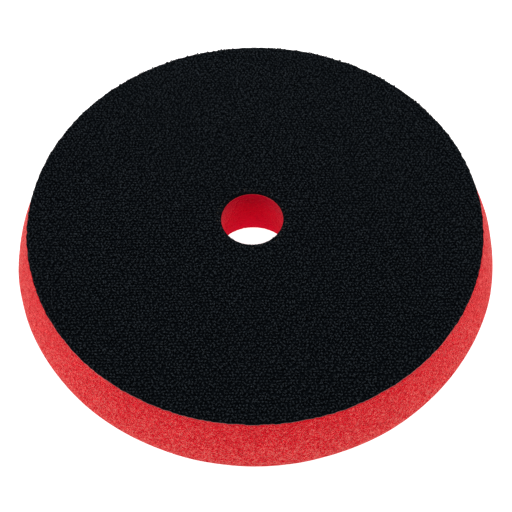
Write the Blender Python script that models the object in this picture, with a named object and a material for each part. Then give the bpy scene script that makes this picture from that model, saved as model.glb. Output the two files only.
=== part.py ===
"""Foam polishing pad for a dual action polisher.

A round pad in three layers, standing on its working face:
an open-cell foam disc, a hot-melt film and a loop-pile fabric backing.
The frame's origin is the centre of the working face, +Z points up to the backing.
All sizes are in metres.
"""

import math

import bmesh
import bpy

# Driving dimensions of the whole pad
PAD_DIAMETER = 0.160        # widest, where the rounded working edge turns under
BACKING_DIAMETER = 0.150    # fabric, film and the top of the foam, cut flush
PAD_THICKNESS = 0.025       # working face to the top of the loop pile
EDGE_ROUND = 0.0075         # radius of the rounded working edge

# Centre hole, which guides the pad onto the backing plate
BORE_TOP_DIAMETER = 0.0205  # through the fabric, the film and the top of the foam
BORE_MOUTH_DIAMETER = 0.0256  # at the working face, where the foam has sprung open
BORE_MOUTH_ROUND = 0.0007   # worn round of the mouth's rim

# Layers of the laminate
FABRIC_THICKNESS = 0.0009   # ground knit and loop pile together
FILM_THICKNESS = 0.0003
LAYER_GAP = 0.0003          # clearance between two layers

# Fineness of the turned shapes; a multiple of four keeps both axes symmetric
TURN_SEGMENTS = 96
EDGE_SEGMENTS = 9
MOUTH_SEGMENTS = 3
SHARP_ANGLE = math.radians(35)

# Heights of the layers, worked down from the top of the pile
FABRIC_TOP = PAD_THICKNESS
FABRIC_BOTTOM = FABRIC_TOP - FABRIC_THICKNESS
FILM_TOP = FABRIC_BOTTOM - LAYER_GAP
FILM_BOTTOM = FILM_TOP - FILM_THICKNESS
FOAM_TOP = FILM_BOTTOM - LAYER_GAP

BACKING_RADIUS = BACKING_DIAMETER / 2
BORE_TOP_RADIUS = BORE_TOP_DIAMETER / 2
BORE_MOUTH_RADIUS = BORE_MOUTH_DIAMETER / 2


def clear_scene():
    """Remove every object that the scene already holds."""
    for obj in list(bpy.data.objects):
        bpy.data.objects.remove(obj, do_unlink=True)


def material(name, color, roughness, metallic=0.0):
    """A Principled BSDF finish in one colour."""
    finish = bpy.data.materials.new(name)
    finish.use_nodes = True
    shader = finish.node_tree.nodes["Principled BSDF"]
    shader.inputs["Base Color"].default_value = (*color, 1.0)
    shader.inputs["Roughness"].default_value = roughness
    shader.inputs["Metallic"].default_value = metallic
    return finish


def arc(center, radius, start, end, segments):
    """Points (r, z) along an arc, from one angle to the other, both ends included."""
    steps = [start + (end - start) * i / segments for i in range(segments + 1)]
    return [(center[0] + radius * math.cos(a), center[1] + radius * math.sin(a)) for a in steps]


def tangent_angle(point, center, radius):
    """Angle on a circle where the straight line from an outer point touches its outer side."""
    dr = point[0] - center[0]
    dz = point[1] - center[1]
    return math.atan2(dz, dr) - math.acos(radius / math.hypot(dr, dz))


def turned(name, profile, finish):
    """A ring solid: a closed (r, z) outline spun once about the Z axis."""
    bm = bmesh.new()
    corners = [bm.verts.new((r, 0.0, z)) for r, z in profile]
    outline = [bm.edges.new((a, b)) for a, b in zip(corners, corners[1:] + corners[:1])]
    bmesh.ops.spin(
        bm, geom=corners + outline, cent=(0, 0, 0), axis=(0, 0, 1), dvec=(0, 0, 0),
        angle=2 * math.pi, steps=TURN_SEGMENTS, use_merge=True, use_duplicate=False,
    )
    bmesh.ops.recalc_face_normals(bm, faces=bm.faces)
    mesh = bpy.data.meshes.new(name)
    bm.to_mesh(mesh)
    bm.free()
    mesh.shade_smooth()
    mesh.set_sharp_from_angle(angle=SHARP_ANGLE)
    mesh.materials.append(finish)
    obj = bpy.data.objects.new(name, mesh)
    bpy.context.scene.collection.objects.link(obj)
    return obj


def washer(name, inner_radius, outer_radius, bottom, top, finish):
    """A flat ring with square edges."""
    outline = [
        (inner_radius, bottom),
        (outer_radius, bottom),
        (outer_radius, top),
        (inner_radius, top),
    ]
    return turned(name, outline, finish)


def make_foam_disc():
    """Foam: flat working face, rounded edge, side leaning in to the backing, flared bore."""
    edge_center = (PAD_DIAMETER / 2 - EDGE_ROUND, EDGE_ROUND)
    shoulder = (BACKING_RADIUS, FOAM_TOP)
    side_angle = tangent_angle(shoulder, edge_center, EDGE_ROUND)
    edge = arc(edge_center, EDGE_ROUND, -math.pi / 2, side_angle, EDGE_SEGMENTS)

    mouth_center = (BORE_MOUTH_RADIUS + BORE_MOUTH_ROUND, BORE_MOUTH_ROUND)
    mouth = arc(mouth_center, BORE_MOUTH_ROUND, -math.pi, -math.pi / 2, MOUTH_SEGMENTS)

    outline = mouth + edge + [shoulder, (BORE_TOP_RADIUS, FOAM_TOP)]
    finish = material("red_open_cell_foam", (0.66, 0.022, 0.028), 0.9)
    return turned("foam_disc", outline, finish)


def make_adhesive_film():
    """Hot-melt film between the foam and the fabric."""
    finish = material("clear_hot_melt", (0.30, 0.22, 0.14), 0.35)
    return washer("adhesive_film", BORE_TOP_RADIUS, BACKING_RADIUS, FILM_BOTTOM, FILM_TOP, finish)


def make_loop_backing():
    """Loop-pile fabric that grips the hooks of the backing plate."""
    finish = material("black_loop_pile", (0.012, 0.014, 0.016), 0.95)
    return washer("loop_backing", BORE_TOP_RADIUS, BACKING_RADIUS, FABRIC_BOTTOM, FABRIC_TOP, finish)


def main():
    clear_scene()
    make_foam_disc()
    make_adhesive_film()
    make_loop_backing()


main()
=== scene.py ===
"""Looks of a foam polishing pad: cellular foam, hot-melt film and black loop-pile backing."""

import math

import bpy
import numpy as np
from bpy.props import FloatProperty, FloatVectorProperty, IntProperty, PointerProperty
from mathutils import Matrix, Vector


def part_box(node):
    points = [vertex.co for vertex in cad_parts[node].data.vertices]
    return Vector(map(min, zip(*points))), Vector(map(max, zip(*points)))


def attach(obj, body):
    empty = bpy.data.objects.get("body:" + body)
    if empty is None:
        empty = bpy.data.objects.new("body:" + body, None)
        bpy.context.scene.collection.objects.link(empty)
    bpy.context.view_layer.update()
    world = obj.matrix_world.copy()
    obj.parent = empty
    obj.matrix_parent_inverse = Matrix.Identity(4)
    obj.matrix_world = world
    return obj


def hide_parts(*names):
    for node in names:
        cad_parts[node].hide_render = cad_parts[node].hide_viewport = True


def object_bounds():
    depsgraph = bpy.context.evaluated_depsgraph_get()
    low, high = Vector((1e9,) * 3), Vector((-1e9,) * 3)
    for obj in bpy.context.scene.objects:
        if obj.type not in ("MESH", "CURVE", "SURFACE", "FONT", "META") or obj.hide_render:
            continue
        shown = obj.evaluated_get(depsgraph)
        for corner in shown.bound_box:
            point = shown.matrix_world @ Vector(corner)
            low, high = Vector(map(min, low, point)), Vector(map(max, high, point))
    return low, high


bl_info = {
    "name": "Foam Polishing Pad",
    "version": (1, 0, 0),
    "blender": (4, 5, 0),
    "location": "3D View > Sidebar > Polishing Pad",
    "description": "Makes the foam, film and loop-pile backing of a polishing pad, and its studio",
    "category": "Add Mesh",
}

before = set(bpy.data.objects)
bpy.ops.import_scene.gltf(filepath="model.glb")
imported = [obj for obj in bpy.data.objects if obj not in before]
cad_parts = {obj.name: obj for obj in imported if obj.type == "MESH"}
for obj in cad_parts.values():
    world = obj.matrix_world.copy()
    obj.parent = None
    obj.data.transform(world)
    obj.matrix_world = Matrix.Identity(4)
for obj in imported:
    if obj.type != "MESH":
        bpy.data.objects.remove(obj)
CAD_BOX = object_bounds()

MM = 0.001
BODY = "root"
FOAM_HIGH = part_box("foam_disc")[1]
FILM_LOW, FILM_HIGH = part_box("adhesive_film")
CLOTH_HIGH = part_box("loop_backing")[1]


# ---------------------------------------------------------------- sizes and colours


class PadSizes(bpy.types.PropertyGroup):
    widest: FloatProperty(
        name="Widest radius", description="Where the rounded working edge turns under",
        default=FOAM_HIGH.x + 0.3 * MM, unit="LENGTH")
    backing: FloatProperty(
        name="Backing radius", description="Fabric, film and top of the foam",
        default=CLOTH_HIGH.x, unit="LENGTH")
    edge_round: FloatProperty(
        name="Edge round", description="Radius of the rounded working edge",
        default=7.5 * MM, unit="LENGTH")
    bore_top: FloatProperty(
        name="Hole radius", description="Centre hole through the fabric",
        default=10.25 * MM, unit="LENGTH")
    bore_mouth: FloatProperty(
        name="Hole mouth radius", description="Centre hole at the working face",
        default=12.8 * MM, unit="LENGTH")
    mouth_round: FloatProperty(
        name="Mouth round", description="Round of the hole's lower rim",
        default=0.7 * MM, unit="LENGTH")
    punch_offset: FloatVectorProperty(
        name="Punch offset", description="How far the punched hole sits off the middle",
        size=2, default=(-0.85 * MM, -0.12 * MM), unit="LENGTH")
    cell: FloatProperty(
        name="Foam cell", description="Mean width of an open cell",
        default=0.95 * MM, unit="LENGTH")
    cell_depth: FloatProperty(
        name="Cell depth", description="How deep a cut cell opens below the cut face",
        default=0.17 * MM, unit="LENGTH")
    waviness: FloatProperty(
        name="Cut waviness", description="Slow wander of the cut side",
        default=0.24 * MM, unit="LENGTH")


class PileSizes(bpy.types.PropertyGroup):
    ground: FloatProperty(
        name="Ground knit", description="Thickness of the knit below the loops",
        default=0.5 * MM, unit="LENGTH")
    course: FloatProperty(
        name="Course pitch", description="Distance between two knitted rows",
        default=1.02 * MM, unit="LENGTH")
    wale: FloatProperty(
        name="Wale pitch", description="Distance between two loops in a row",
        default=1.02 * MM, unit="LENGTH")
    strand: FloatProperty(
        name="Strand radius", description="Radius of one strand of a loop",
        default=0.115 * MM, unit="LENGTH")
    strands: IntProperty(
        name="Strands", description="Strands side by side in one loop", default=2)
    fibre: FloatProperty(
        name="Fibre radius", description="Radius of one loose filament",
        default=0.032 * MM, unit="LENGTH")
    fibres: IntProperty(
        name="Loose fibres", description="Brushed-up filaments over the pile", default=3600)


class Finishes(bpy.types.PropertyGroup):
    # Deep red for the foam's random dark tone, and painted shade on the floors of the open cells.
    foam_deep_and_pit_shade: FloatVectorProperty(
        name="Foam shade", description="Inside the cut cells",
        subtype="COLOR", size=3, default=(0.62, 0.0003, 0.010))
    foam_red: FloatVectorProperty(
        name="Foam red", description="Body colour of the foam",
        subtype="COLOR", size=3, default=(0.755, 0.004, 0.018))
    # Pale whitish red for the foam's random light tone, and painted highlights: glints on the strut
    # ends.
    foam_light_and_glint: FloatVectorProperty(
        name="Foam light", description="Bare strut ends that catch the light",
        subtype="COLOR", size=3, default=(0.88, 0.130, 0.114))
    foam_punched: FloatVectorProperty(
        name="Foam punched", description="Wall of the punched hole",
        subtype="COLOR", size=3, default=(0.70, 0.0008, 0.029))
    film: FloatVectorProperty(
        name="Film", description="Hot-melt film seen on edge",
        subtype="COLOR", size=3, default=(0.66, 0.006, 0.016))
    yarn_dark: FloatVectorProperty(
        name="Yarn dark", description="Deepest nylon",
        subtype="COLOR", size=3, default=(0.0007, 0.0015, 0.0026))
    # Lightest nylon: partly random dyeing, partly painted glints.
    yarn_light_and_glint: FloatVectorProperty(
        name="Yarn light", description="Lightest nylon",
        subtype="COLOR", size=3, default=(0.0192, 0.0250, 0.0310))
    yarn_cut: FloatVectorProperty(
        name="Yarn cut", description="Cut edge of the knit, where bare filament ends show",
        subtype="COLOR", size=3, default=(0.100, 0.098, 0.102))
    # Painted highlight: pale tan glints on single fibres at the punched hole.
    yarn_glint: FloatVectorProperty(
        name="Yarn bare", description="Single filaments that lost their dye at the punched hole",
        subtype="COLOR", size=3, default=(0.30, 0.26, 0.20))


class StageSizes(bpy.types.PropertyGroup):
    elevation: FloatProperty(
        name="Elevation", description="Camera's height above the horizon",
        default=math.radians(56.78), subtype="ANGLE")
    roll: FloatProperty(
        name="Roll", description="Camera's turn about its own axis",
        default=math.radians(-0.79), subtype="ANGLE")
    distance: FloatProperty(
        name="Distance", description="From the camera to the plane of its aim",
        default=0.4353, unit="LENGTH")
    aim: FloatVectorProperty(
        name="Aim", description="Aim point right of and below the middle of the backing",
        size=2, default=(0.4 * MM, 12.85 * MM), unit="LENGTH")
    lens: FloatProperty(
        name="Lens", description="Focal length on a 36 mm sensor", default=92.98)
    floor_color: FloatVectorProperty(
        name="Floor", description="Plain pale floor",
        subtype="COLOR", size=3, default=(0.3, 0.3, 0.3))
    floor_glow: FloatProperty(
        name="Floor glow", description="Light of the lit table top", default=1.05)
    tent: FloatProperty(
        name="Tent light", description="Even white light from all round", default=0.56)
    side_light: FloatProperty(
        name="Side light", description="Power of each side softbox in watts", default=4.0)
    top_light: FloatProperty(
        name="Top light", description="Power of the overhead softbox in watts", default=1.1)
    back_light: FloatProperty(
        name="Back light", description="Power of the small softbox behind in watts", default=1.3)


# ---------------------------------------------------------------- numbers that follow a rule


def hashed(ix, iy, iz, seed):
    """Whole lattice points to numbers in 0..1: odd multiples of them are summed and bit-mixed."""
    h = (ix.astype(np.int64) * 374761393 + iy.astype(np.int64) * 668265263
         + iz.astype(np.int64) * 2147483647 + seed * 1274126177) & 0xFFFFFFFF
    h = ((h ^ (h >> 15)) * 2246822519) & 0xFFFFFFFF
    h = ((h ^ (h >> 13)) * 3266489917) & 0xFFFFFFFF
    return (h ^ (h >> 16)) / 4294967296.0


def drift(points, length, seed):
    """Smooth noise in -1..1: lattice values `length` apart, blended by 3t^2 - 2t^3 on each axis."""
    scaled = points / length
    low = np.floor(scaled).astype(np.int64)
    t = scaled - low
    t = t * t * (3 - 2 * t)
    total = np.zeros(len(points))
    for dx in (0, 1):
        for dy in (0, 1):
            for dz in (0, 1):
                weight = (np.abs(1 - dx - t[:, 0]) * np.abs(1 - dy - t[:, 1])
                          * np.abs(1 - dz - t[:, 2]))
                total += weight * hashed(low[:, 0] + dx, low[:, 1] + dy, low[:, 2] + dz, seed)
    return 2 * total - 1


FAR = 9.0               # cell widths, further off than any neighbour


def cells(points, size, seed):
    """Random foam cells: distances to the nearest and second-nearest of one jittered centre per
    lattice cube, in cell widths, and the nearest cell's own number in 0..1."""
    scaled = points / size
    low = np.floor(scaled).astype(np.int64)
    near = np.full(len(points), FAR)
    second = np.full(len(points), FAR)
    number = np.zeros(len(points))
    for dx in (-1, 0, 1):
        for dy in (-1, 0, 1):
            for dz in (-1, 0, 1):
                cube = low + (dx, dy, dz)
                jitter = [hashed(*cube.T, seed + k) for k in range(3)]
                away = np.linalg.norm(cube + np.stack(jitter, 1) - scaled, axis=1)
                closer = away < near
                second = np.where(closer, near, np.minimum(second, away))
                number = np.where(closer, hashed(*cube.T, seed + 3), number)
                near = np.where(closer, away, near)
    return near, second, number


def eased(value, low, high):
    """0 below low, 1 above high, and 3t^2 - 2t^3 between."""
    t = np.clip((value - low) / (high - low), 0, 1)
    return t * t * (3 - 2 * t)


# ---------------------------------------------------------------- meshes


def mesh_piece(name, points, face_sets, corner_maps=None, values=None):
    """A mesh object from whole arrays: points (n, 3) and faces in sets of one corner count each.
    corner_maps gives each set's UV per corner for the map OFBake, and values a number per point."""
    mesh = bpy.data.meshes.new(name)
    corners = np.concatenate([f.ravel() for f in face_sets])
    sizes = np.concatenate([np.full(len(f), f.shape[1]) for f in face_sets])
    mesh.vertices.add(len(points))
    mesh.vertices.foreach_set("co", np.asarray(points, np.float32).ravel())
    mesh.loops.add(len(corners))
    mesh.loops.foreach_set("vertex_index", corners.astype(np.int32))
    mesh.polygons.add(len(sizes))
    mesh.polygons.foreach_set("loop_start", (np.cumsum(sizes) - sizes).astype(np.int32))
    mesh.update(calc_edges=True)
    mesh.shade_smooth()
    if corner_maps is not None:
        layer = mesh.uv_layers.new(name="OFBake")
        flat = np.concatenate([m.reshape(-1, 2) for m in corner_maps])
        layer.data.foreach_set("uv", flat.astype(np.float32).ravel())
    for key, numbers in (values or {}).items():
        attribute = mesh.attributes.new(key, "FLOAT", "POINT")
        attribute.data.foreach_set("value", np.asarray(numbers, np.float32))
    obj = bpy.data.objects.new(name, mesh)
    bpy.context.scene.collection.objects.link(obj)
    return obj


def ring_faces(first_a, count_a, first_b, count_b):
    """Faces between two closed rings of points, b further along the outline than a. Equal rings
    give quads; rings of n and 2n points give three triangles for each of the n."""
    n = min(count_a, count_b)
    j = np.arange(n)
    k = (j + 1) % n
    if count_a == count_b:
        return np.stack([first_a + j, first_a + k, first_b + k, first_b + j], 1)
    if count_a > count_b:
        left, middle, right = 2 * j, 2 * j + 1, (2 * j + 2) % count_a
        return np.concatenate([
            np.stack([first_a + left, first_a + middle, first_b + j], 1),
            np.stack([first_a + middle, first_b + k, first_b + j], 1),
            np.stack([first_a + middle, first_a + right, first_b + k], 1),
        ])
    left, middle, right = 2 * j, 2 * j + 1, (2 * j + 2) % count_b
    return np.concatenate([
        np.stack([first_a + j, first_b + middle, first_b + left], 1),
        np.stack([first_a + j, first_a + k, first_b + middle], 1),
        np.stack([first_a + k, first_b + right, first_b + middle], 1),
    ])


def turned_rings(outline, counts):
    """A closed outline of (radius, height) turned about Z, ring by ring: point j of a ring of c
    points is (r cos a, r sin a, z) with a = 2 pi j / c. Returns the points, their outline index,
    their angles and the face sets."""
    counts = np.asarray(counts)
    starts = np.cumsum(counts) - counts
    index = np.repeat(np.arange(len(outline)), counts)
    angle = 2 * math.pi * (np.arange(counts.sum()) - starts[index]) / counts[index]
    r, z = outline[index].T
    points = np.stack([r * np.cos(angle), r * np.sin(angle), z], 1)
    faces = []
    for i in range(len(outline)):
        j = (i + 1) % len(outline)
        faces.append(ring_faces(starts[i], counts[i], starts[j], counts[j]))
    return points, index, angle, faces


def outline_normals(outline):
    """Outward normal (radial, upward) of a closed outline that runs anticlockwise seen with the
    axis on its left: the tangent of the neighbours, turned a quarter."""
    tangent = np.roll(outline, -1, 0) - np.roll(outline, 1, 0)
    normal = np.stack([tangent[:, 1], -tangent[:, 0]], 1)
    return normal / np.linalg.norm(normal, axis=1)[:, None]


def tubes(paths, radii, across, sides):
    """Closed tubes along many paths at once. paths is (n, k, 3), radii (n, k), and across (n, 3)
    is a direction that no path runs along. Each ring is p + r (cos f N + sin f B), with N across
    the tangent and B = T x N. Returns points and face sets."""
    n, k, _ = paths.shape
    tangent = np.gradient(paths, axis=1)
    tangent /= np.linalg.norm(tangent, axis=2)[:, :, None]
    side = across[:, None] - tangent * (across[:, None] * tangent).sum(2)[:, :, None]
    side /= np.linalg.norm(side, axis=2)[:, :, None]
    third = np.cross(tangent, side)
    f = 2 * math.pi * np.arange(sides) / sides
    ring = (side[:, :, None] * np.cos(f)[:, None] + third[:, :, None] * np.sin(f)[:, None])
    points = paths[:, :, None] + ring * radii[:, :, None, None]
    at = np.arange(n * k * sides).reshape(n, k, sides)
    turn = np.roll(at, -1, 2)
    wall = np.stack([at[:, :-1], turn[:, :-1], turn[:, 1:], at[:, 1:]], 3).reshape(-1, 4)
    return points.reshape(-1, 3), [wall, at[:, 0, ::-1].reshape(-1, sides), at[:, -1]]


# ---------------------------------------------------------------- shader graphs


class Wire:
    """A shader socket used in Python arithmetic. Each operator adds one Math node."""

    def __init__(self, graph, socket):
        self.graph = graph
        self.socket = socket

    def math(self, operation, *values, clamp=False):
        settings = {"operation": operation, "use_clamp": clamp}
        return self.graph.node("ShaderNodeMath", settings, dict(enumerate(values)))

    def __add__(self, other):
        return self.math("ADD", self, other)

    __radd__ = __add__

    def __sub__(self, other):
        return self.math("SUBTRACT", self, other)

    def __rsub__(self, other):
        return self.math("SUBTRACT", other, self)

    def __mul__(self, other):
        return self.math("MULTIPLY", self, other)

    __rmul__ = __mul__

    def clamped(self):
        return self.math("ADD", self, 0.0, clamp=True)


class Graph:
    """A material's node tree, with one method that adds any node."""

    def __init__(self, name):
        self.material = bpy.data.materials.new(name)
        self.material.use_nodes = True
        self.tree = self.material.node_tree
        self.shader = self.tree.nodes["Principled BSDF"]
        self.place = self.node("ShaderNodeTexCoord", output="Object")

    def feed(self, socket, value):
        if isinstance(value, Wire):
            self.tree.links.new(value.socket, socket)
        else:
            socket.default_value = value

    def node(self, kind, settings=None, inputs=None, output=0):
        made = self.tree.nodes.new(kind)
        for key, value in (settings or {}).items():
            setattr(made, key, value)
        for key, value in (inputs or {}).items():
            self.feed(made.inputs[key], value)
        return Wire(self, made.outputs[output])

    def blend(self, factor, first, second):
        """Colour from first at factor 0 to second at 1."""
        inputs = {0: factor, 6: colour(first), 7: colour(second)}
        return self.node("ShaderNodeMix", {"data_type": "RGBA"}, inputs, output=2)

    def step(self, value, low, high):
        """0 at low, 1 at high, eased between."""
        inputs = {"Value": value, "From Min": low, "From Max": high}
        return self.node("ShaderNodeMapRange", {"interpolation_type": "SMOOTHSTEP"}, inputs)

    def noise(self, length, detail):
        """Noise in about 0..1 whose blotches are `length` across."""
        inputs = {"Vector": self.place, "Scale": 1 / length, "Detail": detail}
        return self.node("ShaderNodeTexNoise", None, inputs)

    def voronoi(self, size, feature, output="Distance"):
        inputs = {"Vector": self.place, "Scale": 1 / size}
        return self.node("ShaderNodeTexVoronoi", {"feature": feature}, inputs, output)

    def attribute(self, name):
        return self.node("ShaderNodeAttribute", {"attribute_name": name}, output="Fac")

    def height(self):
        return self.node("ShaderNodeSeparateXYZ", None, {0: self.place}, output=2)

    def bump(self, height, distance):
        return self.node("ShaderNodeBump", None, {"Height": height, "Distance": distance})

    def finish(self, **sockets):
        """Feed the Principled shader's sockets, named in words joined by underscores."""
        for key, value in sockets.items():
            self.feed(self.shader.inputs[key.replace("_", " ")], value)
        return self.material


def colour(value):
    return value if isinstance(value, Wire) else (*value, 1.0)


FINE_CELL = 0.62        # the second, finer cell size as a share of the first
TOP_SHADE_FROM = 7 * MM   # height where the painted shade towards the fabric starts
BORE_SHADE_FROM = 12 * MM   # height where painted shade on the punched wall starts


def foam_finish(looks, cell):
    """Open-cell foam in two cell sizes: red walls with random tone, painted shade on the floors of
    the open cells and painted highlights, pale glints, on the strut ends. Painted shade makes it
    deeper in colour towards the glued face, by the fabric."""
    g = Graph("red_open_cell_foam")
    open_cell = g.attribute("cell_open")
    fine_edge = g.voronoi(cell * FINE_CELL, "DISTANCE_TO_EDGE")
    fine_colour = g.voronoi(cell * FINE_CELL, "F1", "Color")
    fine_number = g.node("ShaderNodeSeparateColor", None, {0: fine_colour})
    strut = 1 - g.step(fine_edge, 0.03, 0.17)
    grain = g.noise(cell * 0.40, 2.5)
    lump = g.noise(cell * 0.9, 0.0)
    blotch = g.noise(cell * 9, 1.0)
    # Painted shade: the foam's tone is made darker from the given height up to the fabric.
    top_shade = g.step(g.height(), TOP_SHADE_FROM, FOAM_HIGH.z)
    # Painted shade and highlight in the tone: open cells are made darker and strut edges lighter.
    # Cell numbers, grain, lumps and blotches are random tone.
    tone = (0.67 - 0.36 * open_cell + 0.30 * (fine_number - 0.5) + 0.24 * strut
            + 2.35 * (grain - 0.5) + 0.50 * (lump - 0.5) + 0.08 * (blotch - 0.5)
            - 0.20 * top_shade)
    dark = g.blend(g.step(tone, 0.20, 0.62), looks.foam_deep_and_pit_shade, looks.foam_red)
    shade = g.blend(g.step(tone, 0.60, 1.08), dark, looks.foam_light_and_glint)
    relief = 0.7 * strut + 0.6 * grain - 0.4 * open_cell
    return g.finish(
        Base_Color=shade, Roughness=0.85 + 0.15 * grain, Normal=g.bump(relief, cell * 0.26),
        Specular_IOR_Level=0.03, Sheen_Weight=0.34, Sheen_Roughness=0.18,
        Sheen_Tint=(1.0, 0.88, 0.78, 1.0))


def punched_finish(looks, cell):
    """Wall of the punched hole: the same foam, dragged smooth and closed, and a deeper red. Painted
    shade makes it darkest near the fabric, at the top of the wall, and darker in its open cells."""
    g = Graph("red_punched_foam")
    open_cell = g.attribute("cell_open")
    grain = g.noise(cell * 0.6, 2.0)
    bore_top_shade = g.step(g.height(), BORE_SHADE_FROM, FOAM_HIGH.z)
    # Painted shade: the wall is blended towards a darker copy of its colour near the fabric and in
    # its open cells; the grain is random tone.
    tone = 0.6 * open_cell * grain + 1.6 * (grain - 0.5) + bore_top_shade
    shade = g.blend(tone.clamped(), looks.foam_punched, [0.7 * c for c in looks.foam_punched])
    return g.finish(
        Base_Color=shade, Roughness=0.9, Normal=g.bump(grain, cell * 0.25),
        Specular_IOR_Level=0.01, Sheen_Weight=0.65, Sheen_Roughness=0.25,
        Sheen_Tint=(1.0, 0.28, 0.30, 1.0))


def film_finish(looks):
    """Hot-melt film: clear glue with a smeared edge, which shows the red of the foam."""
    g = Graph("hot_melt_film")
    smear = g.noise(2.5 * MM, 2.0)
    shade = g.blend(smear, looks.film, [0.5 * c for c in looks.film])
    return g.finish(Base_Color=shade, Roughness=0.35 + 0.3 * smear)


def knit_finish(looks, pile):
    """Black ground knit: courses along X and wales along Y, lighter in a random grain on the raised
    courses, with painted light on the crests and painted shade in the valleys between them, and
    grey at its cut edge."""
    g = Graph("black_ground_knit")
    rows = g.attribute("knit")
    grain = g.noise(0.45 * MM, 2.0)
    # Painted light and shade: the knit is lighter on its raised courses and darker in the valleys
    # between them, in a random grain.
    shade = g.blend(0.38 * rows * grain, looks.yarn_dark, looks.yarn_light_and_glint)
    shade = g.blend(g.attribute("cut_edge"), shade, looks.yarn_cut)
    return g.finish(
        Base_Color=shade, Roughness=0.8 + 0.2 * grain, Specular_IOR_Level=0.02,
        Normal=g.bump(grain, pile.strand * 0.6))


def yarn_finish(looks):
    """Black nylon: each loop or fibre is dyed to its own depth, and a loop is darkest at its feet,
    which is painted shade. A patchy noise lightens parts of each strand: random clumping and
    painted glints. That value d becomes d (1.6 - 0.6 d), which lifts the middle tones."""
    g = Graph("black_nylon_loops")
    # Painted shade and glints: the value carries shade at the loops' feet, and the noise lights
    # patches of strands as glints.
    dye_and_shade = (g.attribute("dye_and_shade") * (2.4 * g.noise(0.40 * MM, 1.5) - 0.26)).clamped()
    dye_and_shade = dye_and_shade * (1.6 - 0.6 * dye_and_shade)
    shade = g.blend(dye_and_shade, looks.yarn_dark, looks.yarn_light_and_glint)
    # Painted highlight: fibres at the hole are blended towards the glint colour.
    shade = g.blend(g.attribute("bare"), shade, looks.yarn_glint)
    return g.finish(Base_Color=shade, Roughness=0.5, Specular_IOR_Level=0.05)


# ---------------------------------------------------------------- the foam disc


OUTER_POINTS = 1536     # round the side and the rounded edge
MIDDLE_POINTS = 768     # round the outer part of the working face
INNER_POINTS = 384      # round the hole and the inner part of the working face
HOLE_PITCH = 0.45 * MM  # between rings down the hole
LIP_PITCH = 0.35 * MM   # round the hole's lower rim
FACE_PITCH = 0.65 * MM  # across the working face
SIDE_PITCH = 0.32 * MM  # round the edge and up the side
GLUED_PITCH = 0.5 * MM  # across the rim of the glued face
SHUT_PITCH = 6 * MM     # across the glued face, which nothing shows
NECK_PITCH = 1.5 * MM   # across the glued face near the hole
GLUED_RIM = 2 * MM      # width of the finely divided rim of the glued face
GLUED_NECK = 8 * MM     # width of the glued face's part near the hole


def evenly(start, end, pitch):
    """Points from start to just before end, about pitch apart, as an (n, 2) array."""
    start, end = np.array(start), np.array(end)
    n = max(1, round(float(np.linalg.norm(end - start)) / pitch))
    return start + (end - start) * (np.arange(n) / n)[:, None]


def arc(center, radius, start, end, pitch):
    """Points on an arc from angle start to just before angle end."""
    n = max(2, round(abs(end - start) * radius / pitch))
    a = start + (end - start) * np.arange(n) / n
    return np.stack([center[0] + radius * np.cos(a), center[1] + radius * np.sin(a)], 1)


def foam_outline(pad):
    """Outline of the foam from the hole's top edge down the hole, out along the working face,
    round the edge, up the leaning side and in along the glued face, with a point count for each
    ring and its stretch: 0 hole, 1 working face, 2 side, 3 glued face."""
    top = FILM_LOW.z
    edge = (pad.widest - pad.edge_round, pad.edge_round)
    reach = (pad.backing - edge[0], top - edge[1])
    side_angle = math.atan2(reach[1], reach[0]) - math.acos(pad.edge_round / math.hypot(*reach))
    touch = (edge[0] + pad.edge_round * math.cos(side_angle),
             edge[1] + pad.edge_round * math.sin(side_angle))
    mouth = (pad.bore_mouth + pad.mouth_round, pad.mouth_round)
    halfway = (edge[0] * 0.5, 0.0)
    shoulder = (pad.backing, top)
    glued = (pad.backing - GLUED_RIM, top)
    inner_glued = (pad.bore_top + GLUED_NECK, top)
    runs = [
        (evenly((pad.bore_top, top), (pad.bore_mouth, mouth[1]), HOLE_PITCH), INNER_POINTS, 0),
        (arc(mouth, pad.mouth_round, math.pi, 1.5 * math.pi, LIP_PITCH), INNER_POINTS, 0),
        (evenly((mouth[0], 0.0), halfway, FACE_PITCH), INNER_POINTS, 1),
        (evenly(halfway, (edge[0], 0.0), FACE_PITCH), MIDDLE_POINTS, 1),
        (arc(edge, pad.edge_round, -0.5 * math.pi, side_angle, SIDE_PITCH), OUTER_POINTS, 2),
        (evenly(touch, shoulder, SIDE_PITCH), OUTER_POINTS, 2),
        (evenly(shoulder, glued, GLUED_PITCH), OUTER_POINTS, 3),
        (evenly(glued, inner_glued, SHUT_PITCH), MIDDLE_POINTS, 3),
        (evenly(inner_glued, (pad.bore_top, top), NECK_PITCH), INNER_POINTS, 3),
    ]
    outline = np.concatenate([run for run, _, _ in runs])
    counts = np.concatenate([np.full(len(run), n) for run, n, _ in runs])
    stretch = np.concatenate([np.full(len(run), s) for run, _, s in runs])
    return outline, counts, stretch


def punch_shift(pad, radius):
    """Share of the punch offset at a radius: whole at the hole, nothing past three mouth radii."""
    share = 1 - eased(radius, pad.bore_mouth * 1.2, pad.bore_mouth * 3)
    return share[:, None] * np.array([pad.punch_offset[0], pad.punch_offset[1], 0.0])


STRIPS = 5              # the side is laid out in this many strips


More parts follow.
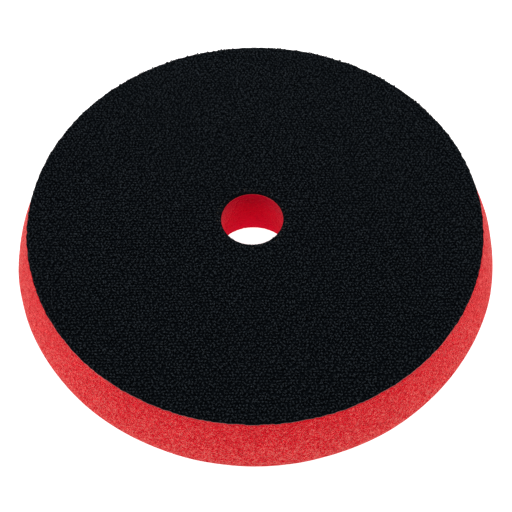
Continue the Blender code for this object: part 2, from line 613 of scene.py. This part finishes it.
def foam_map(outline, stretch, faces, index, angle):
    """Flat layout of the foam for its colours: the working face and the glued face as discs, the
    hole as one strip and the side as five, each at about the same scale."""
    along = np.concatenate([[0], np.cumsum(np.linalg.norm(np.diff(outline, axis=0), axis=1))])
    total = along[-1] + float(np.linalg.norm(outline[0] - outline[-1]))
    hole_end, side_start, side_end = (along[np.argmax(stretch == k)] for k in (1, 2, 3))
    biggest = outline[:, 0].max()
    maps = []
    for i, face in enumerate(faces):
        ring = index[face]
        turn = angle[face] / (2 * math.pi)
        turn = np.where((turn.max(1) - turn.min(1) > 0.5)[:, None] & (turn < 0.5), turn + 1, turn)
        s = along[ring]
        if i == len(faces) - 1:
            s = np.where(ring == 0, total, s)
        r = outline[ring, 0]
        a = angle[face]
        flat = np.stack([r * np.cos(a), r * np.sin(a)], 2) / biggest
        kind = stretch[i]
        if kind == 0:
            uv = np.stack([0.63 + 0.35 * turn / 1.01, 0.64 + 0.10 * s / hole_end], 2)
        elif kind == 1:
            uv = 0.31 + 0.335 * flat * np.array([1.0, -1.0])
        elif kind == 2:
            strip = np.minimum(np.floor(turn.mean(1, keepdims=True) * STRIPS), STRIPS - 1)
            across = (turn * STRIPS - strip) * 0.345 + 0.645
            up = (s - side_start) / (side_end - side_start)
            uv = np.stack([across, 0.02 + 0.12 * strip + 0.105 * up], 2)
        else:
            uv = np.array([0.19, 0.81]) + 0.17 * flat
        maps.append(uv)
    return maps


def foam_points(pad):
    """The foam's surface. Base: the turned outline. Along its outward normal it moves by
    w (drift(26 mm) + 0.6 drift(11 mm)) - d open, where w is the cut's waviness, d the cell depth
    and open is eased(second - near) of its random cell times the cell's own eased number. On the
    working face it only moves inward, so the pad still stands flat."""
    outline, counts, stretch = foam_outline(pad)
    points, index, angle, faces = turned_rings(outline, counts)
    normals = outline_normals(outline)[index]
    kind = stretch[index]
    normal = np.stack([normals[:, 0] * np.cos(angle), normals[:, 0] * np.sin(angle),
                       normals[:, 1]], 1)
    near, second, number = cells(points, pad.cell, 11)
    opened = eased(second - near, 0.05, 0.45) * eased(number, 0.15, 0.9)
    slow = drift(points, 26 * MM, 3) + 0.6 * drift(points, 11 * MM, 4)
    move = pad.waviness * slow * (kind != 1) - pad.cell_depth * opened
    move = np.where(kind == 3, 0.0, move)
    points = points + normal * move[:, None]
    points[:, 2] = np.clip(points[:, 2], 0.0, FILM_LOW.z)
    points += punch_shift(pad, np.hypot(points[:, 0], points[:, 1]))
    maps = foam_map(outline, stretch, faces, index, angle)
    hole_wall = np.concatenate([np.full(len(f), stretch[i] == 0) for i, f in enumerate(faces)])
    return points, faces, maps, opened, hole_wall


class PAD_OT_foam_disc(bpy.types.Operator):
    """Make the cut foam disc, with open cells on every cut face"""

    bl_idname = "pad.foam_disc"
    bl_label = "Foam Disc"

    def execute(self, context):
        pad = context.scene.pad_sizes
        points, faces, maps, opened, hole_wall = foam_points(pad)
        foam = mesh_piece("cellular_foam", points, faces, maps, {"cell_open": opened})
        foam.data.materials.append(foam_finish(context.scene.pad_finishes, pad.cell))
        foam.data.materials.append(punched_finish(context.scene.pad_finishes, pad.cell))
        foam.data.polygons.foreach_set("material_index", hole_wall.astype(np.int32))
        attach(foam, BODY)
        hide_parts("foam_disc")
        return {"FINISHED"}


# ---------------------------------------------------------------- film and ground knit


UNDER_RINGS = 4         # rings out along the underside of a washer
FILM_ROWS = 6           # rings back in along the top of the film
FILM_POINTS = 720       # points round each of those rings
FILM_WOBBLE = 0.15 * MM
KNIT_ROWS = 96          # the same three for the ground knit
KNIT_POINTS = 960
KNIT_WOBBLE = 0.28 * MM
KNIT_RELIEF = 0.12 * MM  # depth of the valleys between courses
CUT_WIDTH = 0.4 * MM    # how far in from the rim the knit counts as cut


def washer_points(pad, low, high, outer, rows, count, wobble):
    """A flat ring between two heights: a few rings out along the underside, then rows of rings
    back in along the top. The rim wanders by wobble (0.15 drift(6 mm) + 0.6 drift(1.1 mm)). Its map
    shows the top and the two edges as a disc, and the hidden underside small in a corner."""
    out = np.linspace(pad.bore_top, outer, UNDER_RINGS)
    back = np.linspace(outer, pad.bore_top, rows)
    outline = np.concatenate([
        np.stack([out, np.full(UNDER_RINGS, low)], 1),
        np.stack([back, np.full(rows, high)], 1),
    ])
    points, index, angle, faces = turned_rings(outline, np.full(len(outline), count))
    rim = eased(outline[index, 0], outer - 1 * MM, outer)
    flat = points * (1, 1, 0)
    stray = (0.15 * drift(flat, 6 * MM, 21) + 0.6 * drift(flat, 1.1 * MM, 22)) * wobble * rim
    points[:, 0] += stray * np.cos(angle)
    points[:, 1] += stray * np.sin(angle)
    heading = np.stack([np.cos(angle), np.sin(angle)], 1)
    sign = np.where(outline[index, 0] > (outer + pad.bore_top) / 2, 1, -1)
    reach = outline[index, 0] + sign * (high - outline[index, 1])
    disc = 0.5 + 0.48 * heading * (reach / (outer + high - low))[:, None]
    maps = [0.04 + 0.04 * heading[f] * outline[index[f], 0][:, :, None] / outer
            if i < UNDER_RINGS - 1 else disc[f] for i, f in enumerate(faces)]
    return points, faces, maps


class PAD_OT_hot_melt_film(bpy.types.Operator):
    """Make the hot-melt film that bonds the fabric to the foam"""

    bl_idname = "pad.hot_melt_film"
    bl_label = "Hot-melt Film"

    def execute(self, context):
        pad = context.scene.pad_sizes
        points, faces, maps = washer_points(
            pad, FILM_LOW.z, FILM_HIGH.z, pad.backing, FILM_ROWS, FILM_POINTS, FILM_WOBBLE)
        points += punch_shift(pad, np.hypot(points[:, 0], points[:, 1]))
        film = mesh_piece("bonding_film", points, faces, maps)
        film.data.materials.append(film_finish(context.scene.pad_finishes))
        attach(film, BODY)
        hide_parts("adhesive_film")
        return {"FINISHED"}


def knit_height(x, y, pile):
    """Ground knit in 0..1: raised courses across Y, each broken into wales along X that shift by
    half a stitch from course to course: |cos(pi y/c)| (0.6 + 0.4 cos(2 pi x/w + pi row))."""
    row = np.round(y / pile.course)
    return (np.abs(np.cos(math.pi * y / pile.course))
            * (0.6 + 0.4 * np.cos(2 * math.pi * x / pile.wale + math.pi * row)))


class PAD_OT_ground_knit(bpy.types.Operator):
    """Make the knitted ground cloth that carries the loops"""

    bl_idname = "pad.ground_knit"
    bl_label = "Ground Knit"

    def execute(self, context):
        pad, pile = context.scene.pad_sizes, context.scene.pile_sizes
        low, high = FILM_HIGH.z, FILM_HIGH.z + pile.ground
        points, faces, maps = washer_points(
            pad, low, high, pad.backing, KNIT_ROWS, KNIT_POINTS, KNIT_WOBBLE)
        height = knit_height(points[:, 0], points[:, 1], pile)
        on_top = points[:, 2] > (low + high) / 2
        points[:, 2] += on_top * KNIT_RELIEF * (height - 1)
        radius = np.hypot(points[:, 0], points[:, 1])
        rim = (radius > pad.backing - CUT_WIDTH) & ~on_top
        points += punch_shift(pad, radius)
        values = {"knit": height * on_top, "cut_edge": rim * 1.0}
        cloth = mesh_piece("ground_knit", points, faces, maps, values)
        cloth.data.materials.append(knit_finish(context.scene.pad_finishes, pile))
        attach(cloth, BODY)
        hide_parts("loop_backing")
        return {"FINISHED"}


# ---------------------------------------------------------------- loop pile


LOOP_STATIONS = 6               # points along a loop
SIDES = 3                       # sides of a strand or a fibre
SECTORS = 6                     # pieces that the pile is shared among
SEED = 7
JITTER_X = 0.20                 # spread of the feet, as a share of a wale
JITTER_Y = 0.16                 # and of a course
RIM_GAP = 0.12 * MM             # from the rim to the nearest loop's foot
HOLE_GAP = 0.5 * MM             # from the hole to the nearest loop's foot
LOOP_LENGTH = (0.65 * MM, 1.3 * MM)
LOOP_HEIGHT = (0.55 * MM, 0.95 * MM)
TUCK_FROM = 0.5 * MM            # how far inside the rim loops start to be pushed in
TUCK_REACH = 0.4 * MM           # how far past that a loop can get


def loop_places(pad, pile, rng):
    """Feet of the loops: points on knitted rows, a course apart in Y and a wale apart in X, each
    row shifted by half a wale, all jittered, and kept between the hole and the rim."""
    span = pad.backing + pile.course
    rows = np.arange(-span, span, pile.course)
    stitches = np.arange(-span, span, pile.wale)
    y, x = (g.ravel() for g in np.meshgrid(rows, stitches, indexing="ij"))
    x = x + np.repeat(np.arange(len(rows)) % 2, len(stitches)) * pile.wale / 2
    x = x + rng.normal(0, JITTER_X, len(x)) * pile.wale
    y = y + rng.normal(0, JITTER_Y, len(y)) * pile.course
    from_rim = pad.backing - np.hypot(x, y)
    from_hole = np.hypot(x - pad.punch_offset[0], y - pad.punch_offset[1]) - pad.bore_top
    keep = (from_rim > RIM_GAP) & (from_hole > HOLE_GAP)
    return x[keep], y[keep]


def loop_paths(x, y, base, pile, rng):
    """Curled arches of yarn, each of a few strands side by side. With t from 0 to 1 the heading is
    h0 + bend (t - 1/2) + s sin(2 pi t), the way along it is L t, and the height is
    h sin(pi t)^0.6. A strand keeps its own distance sideways and a little its own height."""
    n = len(x)
    t = np.linspace(0, 1, LOOP_STATIONS)
    start = rng.uniform(0, 2 * math.pi, n)
    bend = rng.normal(0, 1.5, n)
    curl = rng.normal(0, 0.7, n)
    heading = (start[:, None] + bend[:, None] * (t - 0.5)
               + curl[:, None] * np.sin(2 * math.pi * t))
    length = rng.uniform(*LOOP_LENGTH, n)
    height = rng.uniform(*LOOP_HEIGHT, n)
    step = (length / (LOOP_STATIONS - 1))[:, None]
    east = np.cumsum(np.cos(heading) * step, 1)
    north = np.cumsum(np.sin(heading) * step, 1)
    east += x[:, None] - east.mean(1, keepdims=True)
    north += y[:, None] - north.mean(1, keepdims=True)
    up = base + height[:, None] * np.sin(math.pi * t) ** 0.6
    middle = np.stack([east, north, up], 2)[:, None]
    sideways = np.stack([-np.sin(heading), np.cos(heading), np.zeros_like(heading)], 2)[:, None]
    place = np.arange(pile.strands) - (pile.strands - 1) / 2
    apart = 1.75 * pile.strand * (place + rng.normal(0, 0.15, (n, pile.strands)))
    lift = rng.normal(0, 0.4, (n, pile.strands)) * pile.strand - 0.4 * pile.strand * place**2
    paths = middle + sideways * apart[:, :, None, None]
    paths[..., 2] += lift[:, :, None] * np.sin(math.pi * t)
    across = np.stack([-np.sin(start), np.cos(start), np.full(n, 0.35)], 1)
    return paths.reshape(-1, LOOP_STATIONS, 3), np.repeat(across, pile.strands, 0)


def tuck_in(paths, pad):
    """Push paths in at the rim, so that no loop hangs over the cut edge. Past r0, a little inside
    the rim, a radius r becomes r0 + a (1 - exp((r0 - r) / a)), with a the tuck's reach."""
    free = pad.backing - TUCK_FROM
    radius = np.hypot(paths[..., 0], paths[..., 1])
    over = np.maximum(radius - free, 0)
    wanted = np.minimum(radius, free) + TUCK_REACH * (1 - np.exp(-over / TUCK_REACH))
    paths[..., :2] *= (wanted / radius)[..., None]


def strip_maps(strands, stations):
    """Each strand's faces in a small rectangle of its own, laid out in rows: lengthwise along U,
    with all its sides on one another, because its colour is the same all round."""
    columns = math.ceil(math.sqrt(strands / 2))
    rows = math.ceil(strands / columns)
    column, row = np.arange(strands) % columns, np.arange(strands) // columns
    t = 0.08 + 0.84 * np.linspace(0, 1, stations)
    u = (column[:, None] + t) / columns
    low, high = (row + 0.15) / rows, (row + 0.85) / rows
    u0, u1 = u[:, :-1, None], u[:, 1:, None]
    v0, v1 = low[:, None, None], high[:, None, None]
    shape = (strands, stations - 1, SIDES)
    corners = [np.broadcast_arrays(u, v, np.empty(shape))[:2]
               for u, v in ((u0, v0), (u0, v1), (u1, v1), (u1, v0))]
    wall = np.stack([np.stack(corner, -1) for corner in corners], 3)
    tip = 0.04 / columns
    caps = []
    for end, way in ((u[:, 0], tip), (u[:, -1], -tip)):
        caps.append(np.stack([np.stack([end, low], 1), np.stack([end, high], 1),
                              np.stack([end + way, (low + high) / 2], 1)], 1))
    return [wall.reshape(-1, 2), *caps]


class PAD_OT_loop_pile(bpy.types.Operator):
    """Make the pile of nylon loops, in six sectors"""

    bl_idname = "pad.loop_pile"
    bl_label = "Loop Pile"

    def execute(self, context):
        pad, pile = context.scene.pad_sizes, context.scene.pile_sizes
        rng = np.random.default_rng(SEED)
        x, y = loop_places(pad, pile, rng)
        base = FILM_HIGH.z + pile.ground - pile.strand
        paths, across = loop_paths(x, y, base, pile, rng)
        tuck_in(paths, pad)
        radii = pile.strand * rng.uniform(0.8, 1.25, (len(paths), 1)) * np.ones(LOOP_STATIONS)
        depth = np.repeat(rng.uniform(0.45, 0.9, len(x)), pile.strands)
        depth *= rng.uniform(0.7, 1.1, len(paths))
        # Painted shade: each loop is darker at its feet, down among the other loops, and lightest
        # at its top.
        foot_shade = 0.15 + 0.85 * np.sin(math.pi * np.linspace(0, 1, LOOP_STATIONS))
        dye_and_shade = depth[:, None] * foot_shade
        finish = yarn_finish(context.scene.pad_finishes)
        turn = np.arctan2(y, x) / (2 * math.pi) + 0.5
        sector = np.repeat(np.minimum(turn * SECTORS, SECTORS - 1).astype(int), pile.strands)
        for k in range(SECTORS):
            mine = sector == k
            points, faces = tubes(paths[mine], radii[mine], across[mine], SIDES)
            values = np.repeat(dye_and_shade[mine].ravel(), SIDES)
            maps = strip_maps(mine.sum(), LOOP_STATIONS)
            loops = mesh_piece(f"loop_pile_{k + 1}", points, faces, maps, {"dye_and_shade": values})
            loops.data.materials.append(finish)
            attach(loops, BODY)
        return {"FINISHED"}


FIBRE_STATIONS = 8              # points along a fibre
FIBRE_BANDS = (0.015, 0.96)     # share that starts at the rim, and share before the hole's
FIBRE_LENGTH = (0.7 * MM, 1.9 * MM)
SHORT_FIBRE = 0.35              # share of that length at the rim and the hole
FIBRE_LIFT = (0.2 * MM, 0.65 * MM)
FIBRE_INSET = 0.2 * MM          # from the rim to the fibres that start there
HOLE_BAND = (0.3 * MM, 1.6 * MM)


def fibre_paths(pad, base, n, rng):
    """Loose filaments: a start point, then steps whose heading and climb drift at random. A few
    start at the rim and point outward, and a few start at the hole. Returns the paths and which
    of them start at the hole."""
    angle = rng.uniform(0, 2 * math.pi, n)
    spread = np.sqrt(rng.uniform((pad.bore_top / pad.backing) ** 2, 1, n)) * pad.backing
    where = rng.random(n)
    rim, hole = where < FIBRE_BANDS[0], where > FIBRE_BANDS[1]
    spread = np.where(rim, pad.backing - FIBRE_INSET, spread)
    spread = np.where(hole, pad.bore_top + rng.uniform(*HOLE_BAND, n), spread)
    heading = rng.uniform(0, 2 * math.pi, n)
    heading = np.where(rim, angle + rng.normal(0, 0.9, n), heading)
    bend = rng.normal(0, 0.45, (n, 1)) + rng.normal(0, 0.3, (n, FIBRE_STATIONS))
    headings = heading[:, None] + np.cumsum(bend, 1)
    length = rng.uniform(*FIBRE_LENGTH, n) * np.where(rim | hole, SHORT_FIBRE, 1.0)
    step = (length / (FIBRE_STATIONS - 1))[:, None]
    climb = rng.normal(0.1, 0.35, (n, FIBRE_STATIONS)) * step
    x = spread * np.cos(angle) + pad.punch_offset[0] * hole
    y = spread * np.sin(angle) + pad.punch_offset[1] * hole
    z = base + rng.uniform(*FIBRE_LIFT, n)
    paths = np.stack([
        x[:, None] + np.cumsum(np.cos(headings) * step, 1),
        y[:, None] + np.cumsum(np.sin(headings) * step, 1),
        z[:, None] + np.cumsum(climb, 1),
    ], 2)
    off_hole = np.hypot(x - pad.punch_offset[0], y - pad.punch_offset[1]) > pad.bore_top
    return paths[off_hole], hole[off_hole]


class PAD_OT_loose_fibres(bpy.types.Operator):
    """Make the brushed-up filaments that stand over the pile, the rim and the hole"""

    bl_idname = "pad.loose_fibres"
    bl_label = "Loose Fibres"

    def execute(self, context):
        pad, pile = context.scene.pad_sizes, context.scene.pile_sizes
        rng = np.random.default_rng(SEED + 1)
        base = FILM_HIGH.z + pile.ground
        paths, hole = fibre_paths(pad, base, pile.fibres, rng)
        taper = np.linspace(1.0, 0.55, FIBRE_STATIONS)
        radii = pile.fibre * rng.uniform(0.8, 1.2, (len(paths), 1)) * taper
        across = np.tile([0.0, 0.0, 1.0], (len(paths), 1))
        points, faces = tubes(paths, radii, across, SIDES)
        each = FIBRE_STATIONS * SIDES
        # Loose fibres carry only their dyed depth here, with no painted shade.
        dye_and_shade = np.repeat(rng.uniform(0.3, 1.0, len(paths)), each)
        # Painted highlight: a random share of the fibres at the hole get glints.
        bare = np.repeat(hole * rng.random(len(paths)) ** 1.5, each)
        maps = strip_maps(len(paths), FIBRE_STATIONS)
        fibres = mesh_piece("loose_fibres", points, faces, maps, {"dye_and_shade": dye_and_shade, "bare": bare})
        fibres.data.materials.append(yarn_finish(context.scene.pad_finishes))
        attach(fibres, BODY)
        return {"FINISHED"}


# ---------------------------------------------------------------- stage


def add_camera(stage):
    """Camera at the given elevation, looking along +Y. Its aim point lies right of and below the
    middle of the backing in its own picture plane."""
    elevation, roll = stage.elevation, stage.roll
    right = Vector((1, 0, 0))
    down = Vector((0, -math.sin(elevation), -math.cos(elevation)))
    ahead = Vector((0, math.cos(elevation), -math.sin(elevation)))
    right, down = (right * math.cos(roll) - down * math.sin(roll),
                   right * math.sin(roll) + down * math.cos(roll))
    aim = Vector((0, 0, CAD_BOX[1].z)) + right * stage.aim[0] + down * stage.aim[1]
    data = bpy.data.cameras.new("camera")
    data.sensor_width = 36
    data.lens = stage.lens
    data.clip_start = 0.01
    data.clip_end = 20
    camera = bpy.data.objects.new("camera", data)
    axes = Matrix((right, -down, -ahead)).transposed().to_4x4()
    camera.matrix_world = Matrix.Translation(aim - ahead * stage.distance) @ axes
    bpy.context.scene.collection.objects.link(camera)
    bpy.context.scene.camera = camera


def add_softbox(name, place, aim, size, power):
    """A square area light at place, facing aim."""
    data = bpy.data.lights.new(name, "AREA")
    data.shape = "SQUARE"
    data.size = size
    data.energy = power
    light = bpy.data.objects.new(name, data)
    back = Vector(place) - Vector(aim)
    light.matrix_world = (Matrix.Translation(place)
                          @ back.to_track_quat("Z", "Y").to_matrix().to_4x4())
    bpy.context.scene.collection.objects.link(light)


FLOOR_REACH = 3.0               # half the floor's width
FLOOR_DROP = 0.02 * MM          # keeps the floor and the working face from lying in one plane


def add_floor(stage):
    """A plain square table top a hair below the pad's working face, lit softly from below."""
    corners = np.array([[-1, -1, 0], [1, -1, 0], [1, 1, 0], [-1, 1, 0]]) * FLOOR_REACH
    corners[:, 2] = -FLOOR_DROP
    floor = mesh_piece("floor", corners, [np.array([[0, 1, 2, 3]])])
    g = Graph("pale_floor")
    grain = g.noise(40 * MM, 3.0)
    darker = [0.985 * c for c in stage.floor_color]
    floor.data.materials.append(g.finish(
        Base_Color=g.blend(grain, stage.floor_color, darker), Roughness=0.9,
        Specular_IOR_Level=0.1, Emission_Color=(1.0, 1.0, 1.0, 1.0),
        Emission_Strength=stage.floor_glow))


class PAD_OT_studio(bpy.types.Operator):
    """Make the pale floor, the white tent light, the softboxes and the camera"""

    bl_idname = "pad.studio"
    bl_label = "Studio"

    def execute(self, context):
        stage = context.scene.pad_stage
        add_floor(stage)
        middle = (0.0, 0.0, 0.015)
        boxes = (
            ("softbox_left", (-0.75, -0.19, 0.60), 0.6, 1.1 * stage.side_light),
            ("softbox_right", (0.77, -0.14, 0.60), 0.6, 0.95 * stage.side_light),
            ("softbox_top", (0.0, 0.25, 0.95), 0.9, stage.top_light),
            ("softbox_back", (0.0, 0.36, 0.30), 0.2, stage.back_light),
        )
        for name, place, size, power in boxes:
            add_softbox(name, place, middle, size, power)
        world = bpy.data.worlds.new("white_tent")
        world.use_nodes = True
        background = world.node_tree.nodes["Background"]
        background.inputs["Color"].default_value = (1.0, 1.0, 1.0, 1.0)
        background.inputs["Strength"].default_value = stage.tent
        context.scene.world = world
        context.scene.view_settings.view_transform = "Standard"
        add_camera(stage)
        return {"FINISHED"}


# ---------------------------------------------------------------- add-on


class PAD_PT_panel(bpy.types.Panel):
    """Lists the pad's sizes, colours and pieces"""

    bl_label = "Polishing Pad"
    bl_idname = "PAD_PT_panel"
    bl_space_type = "VIEW_3D"
    bl_region_type = "UI"
    bl_category = "Polishing Pad"

    def draw(self, context):
        for group, _ in GROUPS:
            box = self.layout.box()
            settings = getattr(context.scene, group)
            for key in settings.bl_rna.properties.keys():
                if key not in {"rna_type", "name"}:
                    box.prop(settings, key)
        for operator in OPERATORS:
            self.layout.operator(operator.bl_idname)


GROUPS = (
    ("pad_sizes", PadSizes),
    ("pile_sizes", PileSizes),
    ("pad_finishes", Finishes),
    ("pad_stage", StageSizes),
)
OPERATORS = (
    PAD_OT_studio,
    PAD_OT_foam_disc,
    PAD_OT_hot_melt_film,
    PAD_OT_ground_knit,
    PAD_OT_loop_pile,
    PAD_OT_loose_fibres,
)


def register():
    for name, group in GROUPS:
        bpy.utils.register_class(group)
        setattr(bpy.types.Scene, name, PointerProperty(type=group))
    for kind in (*OPERATORS, PAD_PT_panel):
        bpy.utils.register_class(kind)


def unregister():
    for kind in (PAD_PT_panel, *reversed(OPERATORS)):
        bpy.utils.unregister_class(kind)
    for name, group in reversed(GROUPS):
        delattr(bpy.types.Scene, name)
        bpy.utils.unregister_class(group)


def main():
    register()
    bpy.ops.pad.studio()
    bpy.ops.pad.foam_disc()
    bpy.ops.pad.hot_melt_film()
    bpy.ops.pad.ground_knit()
    bpy.ops.pad.loop_pile()
    bpy.ops.pad.loose_fibres()


if __name__ == "__main__":
    main()
